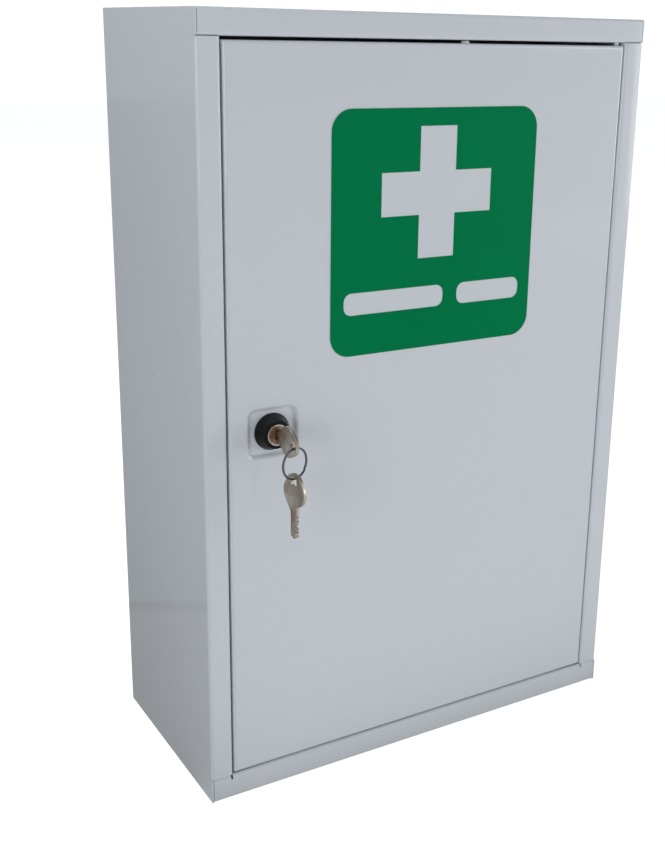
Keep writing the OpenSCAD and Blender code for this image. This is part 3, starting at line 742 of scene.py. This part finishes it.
def flat_curve(name, outlines, thickness, rim):
    """A flat filled curve with a thickness and a rounded rim, made a mesh."""
    bpy.ops.object.select_all(action="DESELECT")
    bpy.ops.curve.primitive_bezier_circle_add()
    curve = bpy.context.object
    curve.name = name
    shape = curve.data
    shape.dimensions, shape.fill_mode = "2D", "BOTH"
    shape.splines.clear()
    for points in outlines:
        spline = shape.splines.new("POLY")
        spline.points.add(len(points) - 1)
        for point, (x, y) in zip(spline.points, points):
            point.co = (x * mm, y * mm, 0, 1)
        spline.use_cyclic_u = True
    shape.extrude = (thickness / 2 - rim) * mm
    shape.bevel_depth = rim * mm
    shape.bevel_resolution = 2
    shape.offset = -rim * mm
    only(curve)
    bpy.ops.object.convert(target="MESH")
    return bpy.context.object


def rounded_slot(width, length, radius, y):
    """The outline of the hole in the bow."""
    x, h = width / 2 - radius, length / 2 - radius
    corners = ((x, h, 0), (-x, h, 90), (-x, -h, 180), (x, -h, 270))
    return [p for cx, cy, a in corners for p in arc(cx, y + cy, radius, a, a + 90, 6)]


print("outline points:", len(key_outline()))

# %% [markdown]
# Each face of the bow has a shallow pressed panel inside a plain rim, and a groove is milled
# along each side of the blade to match the keyway. Both are cut into the finished plate.

# %% Cut a key
def bow_panel(side):
    """A shallow tool with the bow's own form, a little smaller."""
    outline = arc(0, -7.9, 4.9, 10, 170) + arc(0, -11.4, 6.4, 170, 370)
    tool = flat_curve("panel", [outline], 0.6, 0.02)
    tool.location = (0, 0, side * (key_t / 2 + 0.15) * mm)
    only(tool)
    bpy.ops.object.transform_apply()
    hole = flat_curve("hole_rim", [rounded_slot(7, 7.4, 2.2, -4.3)], 2, 0.02)
    hole.location = (0, 0, side * key_t / 2 * mm)
    only(hole)
    bpy.ops.object.transform_apply()
    cut(tool, hole)
    return tool


def make_key(name):
    key = flat_curve(name, [key_outline(), rounded_slot(4.8, 5.4, 1.4, -4.7)], key_t, 0.22)
    edit(key)
    bpy.ops.mesh.select_all(action="SELECT")
    bpy.ops.mesh.remove_doubles(threshold=0.001 * mm)
    bpy.ops.mesh.normals_make_consistent(inside=False)
    done()
    for side in (-1, 1):
        cut(key, bow_panel(side))
        cut(key, block("groove", (-blade_w / 4 - 0.6, -key_l - 1, side * key_t / 2 - 0.35),
                       (-blade_w / 4 + 0.6, -bow_l - 1.5, side * key_t / 2 + 0.35)))
    return key


def stand(key, at, cuts_to, bow_to):
    """Stands a flat key with its cuts and the end of its bow in two directions."""
    cuts_to, bow_to = Vector(cuts_to), Vector(bow_to)
    only(key)
    key.rotation_euler = Matrix((cuts_to, bow_to, cuts_to.cross(bow_to))).transposed().to_euler()
    key.location = [v * mm for v in at]
    bpy.ops.object.transform_apply()
    finish_edges(key, 0)


main_key = make_key("key_in_lock_blade")
stand(main_key, (lock_x, floor_y - bow_end, lock_z), up, forward)
turn = radians(12)
spare = make_key("spare_key_blade")
stand(spare, (lock_x, -96.9, 214.2), (sin(turn), -cos(turn), 0), up)
print("keys:", [round(v / mm, 1) for v in main_key.dimensions],
      [round(v / mm, 1) for v in spare.dimensions], "mm")

# %% [markdown]
# ## The key ring
# A split ring is two turns of flat spring wire. The wire's section is a small rounded
# rectangle, and a Screw modifier carries it twice round the axis, one thickness further each
# turn. The two cut ends are closed with a face. The wire is slimmer than the round wire of the
# solids, so the key's hole has room for it through the whole swing.

# %% Wind the split ring
bpy.ops.object.select_all(action="DESELECT")
ring_r, wire_w, wire_t, pitch = 8.87 * mm, 1.16 * mm, 0.45 * mm, 0.47 * mm
bpy.ops.mesh.primitive_plane_add(size=1, location=(ring_r, 0, -pitch), rotation=(pi / 2, 0, 0))
ring = bpy.context.object
ring.name = "split_ring"
ring.scale = (wire_w, wire_t, 1)
bpy.ops.object.transform_apply()
edit(ring)
bpy.ops.mesh.select_all(action="SELECT")
bpy.ops.mesh.bevel(offset=0.2 * mm, segments=3, affect="VERTICES")
bpy.ops.mesh.select_all(action="SELECT")
bpy.ops.mesh.delete(type="ONLY_FACE")
done()
apply(ring, "SCREW", axis="Z", angle=2 * pi, screw_offset=pitch, iterations=2, steps=72,
      render_steps=72, use_smooth_shade=True)
edit(ring)
bpy.ops.mesh.select_all(action="SELECT")
bpy.ops.mesh.fill_holes(sides=0)
bpy.ops.mesh.normals_make_consistent(inside=False)
done()
only(ring)
ring.rotation_euler = (pi / 2, radians(35), radians(16))
ring.location = (lock_x * mm, -96.9 * mm, 220.1 * mm)
bpy.ops.object.transform_apply()
finish_edges(ring, 0)
print("ring:", [round(v / mm, 2) for v in ring.dimensions], "mm")

# %% [markdown]
# ## Building finishes from nodes
# Every finish is procedural. A small helper makes a node, sets its values and links its
# inputs in one line. Effects that several finishes share are node groups: they put out only
# values and masks, and each material mixes them with its own strength.

# %% Node helpers
def node(tree, kind, args=(), settings=None, **inputs):
    """Makes a node. A socket given as a value is linked, and anything else is set."""
    made = tree.nodes.new(kind)
    for key, value in (settings or {}).items():
        setattr(made, key, value)
    for key, value in list(enumerate(args)) + [(k.replace("_", " "), v) for k, v in inputs.items()]:
        if value is None:
            continue
        if isinstance(value, bpy.types.NodeSocket):
            tree.links.new(value, made.inputs[key])
        else:
            made.inputs[key].default_value = value
    return made


def math(tree, how, a, b=None, c=None):
    """A Math node's result."""
    return node(tree, "ShaderNodeMath", (a, b, c), {"operation": how}).outputs[0]


def spread(tree, value, low, high, to_low, to_high):
    """Maps a range of values to another one, and clamps it."""
    return node(tree, "ShaderNodeMapRange", (value, low, high, to_low, to_high)).outputs[0]


def new_group(name, inputs, outputs):
    """An empty node group with float or vector inputs and float outputs."""
    tree = bpy.data.node_groups.new(name, "ShaderNodeTree")
    for label, value in inputs.items():
        vector = value is None
        kind = "NodeSocketVector" if vector else "NodeSocketFloat"
        socket = tree.interface.new_socket(label, in_out="INPUT", socket_type=kind)
        if not vector:
            socket.default_value = value
    for label in outputs:
        tree.interface.new_socket(label, in_out="OUTPUT", socket_type="NodeSocketFloat")
    return tree, tree.nodes.new("NodeGroupInput").outputs, tree.nodes.new("NodeGroupOutput").inputs


def use_group(tree, group, **inputs):
    """Places a node group in a material with its own values."""
    made = tree.nodes.new("ShaderNodeGroup")
    made.node_tree = group
    for key, value in inputs.items():
        key = key.replace("_", " ")
        if isinstance(value, bpy.types.NodeSocket):
            tree.links.new(value, made.inputs[key])
        else:
            made.inputs[key].default_value = value
    return made.outputs


# %% [markdown]
# ## Shared effects
# Powder coat melts into a skin with a fine orange peel and a slow waviness. Bright metal is
# crossed by hair-fine scratches. Dust settles only on what faces up. Rubbing dulls and
# polishes a surface in soft patches.

# %% Orange peel
peel, given, result = new_group("orange_peel", {"Place": None, "Size": 1.0}, ["Height", "Tone"])
fine = math(peel, "DIVIDE", 1000.0, given["Size"])
grains = node(peel, "ShaderNodeTexNoise", Vector=given["Place"], Scale=fine, Detail=2.0,
              Roughness=0.45).outputs[0]
waves = node(peel, "ShaderNodeTexNoise", Vector=given["Place"], Scale=math(
    peel, "MULTIPLY", fine, 0.16), Detail=1.0).outputs[0]
peel.links.new(math(peel, "ADD", math(peel, "MULTIPLY", grains, 0.55),
                    math(peel, "MULTIPLY", waves, 0.9)), result["Height"])
clouds = node(peel, "ShaderNodeTexNoise", Vector=given["Place"], Scale=9.0, Detail=3.0).outputs[0]
peel.links.new(spread(peel, clouds, 0.3, 0.7, 0.0, 1.0), result["Tone"])

# %% Scratches
scratch, given, result = new_group(
    "hair_scratches", {"Place": None, "Fineness": 900.0, "Amount": 0.5}, ["Mask", "Height"])
lines = None
for turn_z, squeeze in ((0.5, 26.0), (-0.9, 34.0), (1.9, 30.0)):
    turned_place = node(scratch, "ShaderNodeMapping", Vector=given["Place"],
                        Rotation=(turn_z, turn_z * 0.7, turn_z), Scale=(1, squeeze, 1)).outputs[0]
    hair = node(scratch, "ShaderNodeTexNoise", Vector=turned_place, Scale=math(
        scratch, "DIVIDE", given["Fineness"], 10.0), Detail=1.0).outputs[0]
    hair = spread(scratch, hair, 0.66, 0.72, 0.0, 1.0)
    lines = hair if lines is None else math(scratch, "MAXIMUM", lines, hair)
scratch.links.new(math(scratch, "MULTIPLY", lines, given["Amount"]), result["Mask"])
scratch.links.new(math(scratch, "MULTIPLY", lines, -1.0), result["Height"])

# %% Dust and rubbing
dust, given, result = new_group("settled_dust", {"Place": None, "Amount": 0.3}, ["Mask"])
facing = node(dust, "ShaderNodeNewGeometry").outputs[1]
upward = node(dust, "ShaderNodeSeparateXYZ", (facing,)).outputs[2]
specks = node(dust, "ShaderNodeTexNoise", Vector=given["Place"], Scale=160.0, Detail=4.0).outputs[0]
lying = math(dust, "MULTIPLY", spread(dust, upward, 0.5, 1.0, 0.0, 1.0),
             spread(dust, specks, 0.4, 0.75, 0.0, 1.0))
dust.links.new(math(dust, "MULTIPLY", lying, given["Amount"]), result["Mask"])

rub, given, result = new_group("rubbed_patches", {"Place": None, "Size": 20.0}, ["Mask"])
patches = node(rub, "ShaderNodeTexNoise", Vector=given["Place"], Scale=math(
    rub, "DIVIDE", 1000.0, given["Size"]), Detail=2.0, Roughness=0.4).outputs[0]
rub.links.new(spread(rub, patches, 0.25, 0.75, 0.0, 1.0), result["Mask"])
print("node groups:", sorted(g.name for g in bpy.data.node_groups))

# %% [markdown]
# ## The finishes
# A finish starts with a Principled shader whose plain numbers are set on its own sockets.
# Only what changes over the surface is linked: colour, roughness and the bump.

# %% A start for every finish
def finish(name, colour, rough, **constants):
    """A new material. Gives back its node tree, its shader and its place on the piece."""
    material = bpy.data.materials.new(name)
    material.use_nodes = True
    material.diffuse_color = (*colour, 1)
    tree = material.node_tree
    shader = tree.nodes["Principled BSDF"]
    constants.update(Base_Color=(*colour, 1), Roughness=rough)
    for key, value in constants.items():
        shader.inputs[key.replace("_", " ")].default_value = value
    place = node(tree, "ShaderNodeTexCoord").outputs["Object"]
    return material, tree, shader, place


def tint(tree, colour, darker, mask):
    """Mixes a colour with a second one by a mask."""
    mixed = node(tree, "ShaderNodeMix", settings={"data_type": "RGBA"})
    tree.links.new(mask, mixed.inputs[0])
    if isinstance(colour, bpy.types.NodeSocket):
        tree.links.new(colour, mixed.inputs[6])
    else:
        mixed.inputs[6].default_value = (*colour, 1)
    mixed.inputs[7].default_value = (*darker, 1)
    return mixed.outputs[2]


def raise_surface(tree, shader, height, strength, distance):
    """Feeds a height to the shader's normal; distance is in millimetres."""
    bump = node(tree, "ShaderNodeBump", Strength=strength, Distance=distance * mm, Height=height)
    tree.links.new(bump.outputs[0], shader.inputs["Normal"])


# %% [markdown]
# White powder coat: a cool white with hardly any colour change, satin to glossy, with orange
# peel about a millimetre wide and a little dust where it lies flat.

# %% White powder coat
paint, tree, shader, place = finish("white_powder_coat", (0.79, 0.82, 0.86), 0.32,
                                    Coat_Weight=0.9, Coat_Roughness=0.05, Specular_IOR_Level=0.2)
skin = use_group(tree, peel, Place=place, Size=1.3)
patch = use_group(tree, rub, Place=place, Size=60.0)["Mask"]
white = tint(tree, (0.78, 0.81, 0.855), (0.795, 0.824, 0.866), skin["Tone"])
dusty = use_group(tree, dust, Place=place, Amount=0.2)["Mask"]
white = tint(tree, white, (0.66, 0.66, 0.64), dusty)
tree.links.new(white, shader.inputs["Base Color"])
tree.links.new(spread(tree, patch, 0.0, 1.0, 0.29, 0.35), shader.inputs["Roughness"])
raise_surface(tree, shader, skin["Height"], 0.3, 0.03)

# %% [markdown]
# The sign is two layers of vinyl film. Film follows the paint below it, so it shows a softer
# and wider peel and a few fine scuffs.

# %% Vinyl films
def vinyl(name, colour, second):
    film, tree, shader, place = finish(name, colour, 0.4, Specular_IOR_Level=0.015)
    skin = use_group(tree, peel, Place=place, Size=2.2)
    scuffs = use_group(tree, scratch, Place=place, Fineness=260.0, Amount=0.6)
    tree.links.new(tint(tree, colour, second, skin["Tone"]), shader.inputs["Base Color"])
    tree.links.new(spread(tree, scuffs["Mask"], 0.0, 1.0, 0.36, 0.5), shader.inputs["Roughness"])
    raise_surface(tree, shader, skin["Height"], 0.25, 0.03)
    return film


green_film = vinyl("green_vinyl_film", (0.001, 0.23, 0.078), (0.002, 0.25, 0.086))
white_film = vinyl("white_vinyl_film", (0.79, 0.82, 0.86), (0.81, 0.84, 0.87))

# %% [markdown]
# The bezel is black plastic, moulded in a tool with a fine spark finish, rougher and a little
# lighter in soft patches. The buffer is soft white plastic that takes a yellowish tone.

# %% Plastics
black, tree, shader, place = finish("moulded_black", (0.008, 0.009, 0.01), 0.35,
                                    Specular_IOR_Level=0.15)
grain = use_group(tree, peel, Place=place, Size=0.35)
worn = use_group(tree, rub, Place=place, Size=6.0)["Mask"]
colour = tint(tree, (0.005, 0.006, 0.007), (0.012, 0.014, 0.016), worn)
colour = tint(tree, colour, (0.2, 0.2, 0.2), use_group(tree, dust, Place=place, Amount=0.2)["Mask"])
tree.links.new(colour, shader.inputs["Base Color"])
tree.links.new(spread(tree, worn, 0.0, 1.0, 0.26, 0.42), shader.inputs["Roughness"])
raise_surface(tree, shader, grain["Height"], 0.5, 0.02)

soft_white, tree, shader, place = finish("soft_white_plastic", (0.92, 0.92, 0.9), 0.5)
worn = use_group(tree, rub, Place=place, Size=2.0)["Mask"]
button_white = tint(tree, (0.94, 0.94, 0.92), (0.88, 0.87, 0.82), worn)
tree.links.new(button_white, shader.inputs["Base Color"])
tree.links.new(spread(tree, worn, 0.0, 1.0, 0.42, 0.6), shader.inputs["Roughness"])
raise_surface(tree, shader, use_group(tree, peel, Place=place, Size=0.3)["Height"], 0.3, 0.01)

# %% [markdown]
# Plated metal is fully metallic. Nickel is warm and bright. The plug is dark brown metal all
# over, a painted reflection: the colour stands in for a dark brown reflection in its face. Keys
# are duller from handling with brown tarnish in patches, the ring is dark spring steel, zinc is
# a cool mottled grey, and brass shows on the wafers.

# %% Metals
def metal(name, colour, tarnish, rough_low, rough_high, patch, fineness, bump):
    made, tree, shader, place = finish(name, colour, rough_low, Metallic=1.0)
    worn = use_group(tree, rub, Place=place, Size=patch)["Mask"]
    hairs = use_group(tree, scratch, Place=place, Fineness=fineness, Amount=1.0)
    tree.links.new(tint(tree, colour, tarnish, worn), shader.inputs["Base Color"])
    rough = spread(tree, worn, 0.0, 1.0, rough_low, rough_high)
    rough = math(tree, "ADD", rough, math(tree, "MULTIPLY", hairs["Mask"], 0.12))
    tree.links.new(rough, shader.inputs["Roughness"])
    raise_surface(tree, shader, hairs["Height"], bump, 0.02)
    return made


nickel = metal("bright_nickel", (0.74, 0.71, 0.66), (0.5, 0.44, 0.37), 0.14, 0.3, 5.0, 3200.0, 0.3)
key_nickel = metal("worn_key_nickel", (0.66, 0.59, 0.51), (0.42, 0.34, 0.26), 0.26, 0.42, 7.0,
                   2600.0, 0.5)
# The plug's dark brown is a painted reflection: its colour stands in for the reflection in the
# plug's face.
painted_reflection_plug = metal("plug_brown_painted_reflection", (0.42, 0.28, 0.18), (0.18, 0.11, 0.07), 0.3, 0.5, 3.0,
                  2600.0, 0.5)
ring_steel = metal("ring_steel", (0.17, 0.17, 0.19), (0.1, 0.1, 0.12), 0.22, 0.38, 4.0, 3000.0, 0.3)
zinc = metal("zinc_plate", (0.62, 0.63, 0.65), (0.47, 0.48, 0.5), 0.3, 0.46, 3.0, 2400.0, 0.4)
brass = metal("wafer_brass", (0.72, 0.52, 0.24), (0.5, 0.34, 0.15), 0.25, 0.4, 3.0, 2600.0, 0.3)
print("finishes:", sorted(m.name for m in bpy.data.materials if m.use_nodes and "_" in m.name))

# %% [markdown]
# ## Dressing the pieces
# Each new piece rides on the body of the solid that it stands for, takes a finish, and hides
# that solid. Solids whose shape is already right keep their mesh and only get a finish.

# %% Dress the new pieces
def dress(piece, body, slot, material, *nodes):
    piece.data.materials.clear()
    piece.data.materials.append(material)
    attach(piece, body)
    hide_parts(*nodes)


for piece, node_name in (
    (wrap, "case_wrap"), (top, "top_panel"), (bottom, "bottom_panel"),
    (upper_tray, "upper_shelf"), (lower_tray, "lower_shelf"),
    (plates["lower_hinge_plate"], "lower_hinge_plate"),
    (plates["upper_hinge_plate"], "upper_hinge_plate"),
    (pins["lower_hinge_pin"], "lower_hinge_pin"), (pins["upper_hinge_pin"], "upper_hinge_pin"),
):
    dress(piece, "case", "white_paint", paint, node_name)
dress(door, "door", "white_paint", paint, "door_panel")
for node_name in ("lower_door_plate", "upper_door_plate"):
    dress(plates[node_name], "door", "white_paint", paint, node_name)
dress(buffer, "door", "white_plastic", soft_white, "door_buffer")
dress(bezel, "door", "black_plastic", black, "lock_bezel")
dress(housing, "door", "nickel", nickel, "lock_housing")
dress(nut, "door", "zinc_steel", zinc, "lock_nut")
dress(plug, "plug", "nickel", painted_reflection_plug, "lock_plug")
dress(cam, "plug", "zinc_steel", zinc, "lock_cam")
dress(cam_ring, "plug", "zinc_steel", zinc, "cam_washer")
dress(screw, "plug", "zinc_steel", zinc, "cam_screw")
dress(main_key, "key_in_lock", "key_nickel", key_nickel, "key")
dress(spare, "spare", "key_nickel", key_nickel, "spare_key")
dress(ring, "ring", "zinc_steel", ring_steel, "key_ring")

# %% Finish the solids that stay
for node_name, material in (
    ("sign_backing", white_film), ("sign_film", green_film), ("lock_washer", zinc),
    ("lock_wafers", brass), ("wafer_springs", zinc),
):
    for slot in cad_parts[node_name].material_slots:
        slot.material = material
    slots = len(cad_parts[node_name].material_slots)
    print(node_name, "has", material.name, "in", slots, "slot")

# %% [markdown]
# ## The room
# The floor is plain and pale, and so bright to the camera that it runs into the white
# surround, as in a cut-out product picture. What the cabinet itself sees is dimmer: a pale
# floor that glows a little in front of it, which lights the door evenly, and a darker one
# beside it, which darkens the left wall downwards. From 0.28 m away along the view the floor is
# lighter, and a thin dark edge there draws the line that the left wall mirrors.

# %% Floor
bpy.ops.object.select_all(action="DESELECT")
bpy.ops.mesh.primitive_plane_add(size=14, location=(0, 0, 0))
floor = bpy.context.object
floor.name = "studio_floor"
pale, tree, shader, place = finish("pale_floor", (0.9, 0.9, 0.9), 0.6, Specular_IOR_Level=0.1)
to_camera = node(tree, "ShaderNodeLightPath").outputs["Is Camera Ray"]
across, depth, _ = node(tree, "ShaderNodeSeparateXYZ", (place,)).outputs
beside = tint(tree, (0.86, 0.87, 0.87), (0.22, 0.215, 0.19),
              spread(tree, depth, -0.2, -0.03, 0.0, 1.0))
away = math(tree, "SUBTRACT", math(tree, "MULTIPLY", depth, 0.855),
            math(tree, "MULTIPLY", across, 0.518))
around = tint(tree, beside, (0.25, 0.26, 0.27), spread(tree, away, 0.27, 0.28, 0.0, 1.0))
edge_at, edge_half = 0.276, 0.007
edge = math(tree, "COMPARE", away, edge_at, edge_half)
around = tint(tree, around, (0.01, 0.01, 0.01), edge)
speckle = use_group(tree, rub, Place=place, Size=700.0)["Mask"]
bright = tint(tree, (0.91, 0.91, 0.91), (0.95, 0.95, 0.95), speckle)
both = node(tree, "ShaderNodeMix", settings={"data_type": "RGBA"})
for socket, value in ((0, to_camera), (6, around), (7, bright)):
    tree.links.new(value, both.inputs[socket])
tree.links.new(both.outputs[2], shader.inputs["Base Color"])
shader.inputs["Emission Color"].default_value = (1, 1, 1, 1)
glow = math(tree, "MULTIPLY", spread(tree, across, -0.18, -0.12, 0.0, 1.0),
            spread(tree, depth, -0.1, -0.04, 0.26, 0.0))
glow = node(tree, "ShaderNodeMix", (to_camera, None, glow, 0.75)).outputs[0]
tree.links.new(glow, shader.inputs["Emission Strength"])
floor.data.materials.append(pale)
floor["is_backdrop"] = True

# %% [markdown]
# The surround is white to the camera. To everything else it is a dim room, a little brighter
# at the front and the right. The main light stands low at the front right, so the lock and its
# keys shade the left upright softly. A weaker one at the left keeps the gap beside the door
# dark, and two small ones light the top and the left wall.

# %% Surround and lights
world = bpy.data.worlds.new("studio")
bpy.context.scene.world = world
world.use_nodes = True
sky = world.node_tree
to_camera = node(sky, "ShaderNodeLightPath").outputs["Is Camera Ray"]
direction = node(sky, "ShaderNodeTexCoord").outputs["Generated"]
where = node(sky, "ShaderNodeSeparateXYZ", (direction,)).outputs
room = math(sky, "ADD", 0.275, math(sky, "MULTIPLY", where[0], 0.04))
room = math(sky, "SUBTRACT", room, math(sky, "MULTIPLY", where[1], 0.04))
sky.nodes["Background"].inputs[0].default_value = (0.93, 0.965, 1.0, 1)
sky.links.new(node(sky, "ShaderNodeMix", (to_camera, None, room, 1.1)).outputs[0],
              sky.nodes["Background"].inputs[1])


def lamp(name, place, size, energy, colour=(1, 1, 1), towards=(0, 0, 0.23)):
    """A soft square light that faces a point of the cabinet."""
    bpy.ops.object.select_all(action="DESELECT")
    bpy.ops.object.light_add(type="AREA", location=place)
    light = bpy.context.object
    light.name = name
    light.data.size, light.data.energy, light.data.color = size, energy, colour
    light.rotation_euler = (Vector(towards) - Vector(place)).to_track_quat("-Z", "Y").to_euler()


cool = (0.95, 0.975, 1.0)
lamp("front_left_light", (-2.2, -1.35, 0.6), 1.1, 12.6, cool)
lamp("front_right_light", (2.25, -1.4, 0.4), 1.3, 17.5, cool)
lamp("top_light", (-0.4, 0.0, 2.2), 1.6, 4.5, cool)
lamp("left_light", (-0.95, 0.25, 1.35), 0.8, 5.5, cool)
bpy.context.scene.view_settings.view_transform = "Standard"

# %% [markdown]
# ## Sizes
# The looks must not make the part bigger than its solids, so both boxes are written down.

# %% Write the sizes and finish
look_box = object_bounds()
for label, found in (("cad", cad_box), ("look", look_box)):
    print(label, [[round(x / mm, 2) for x in v] for v in found])
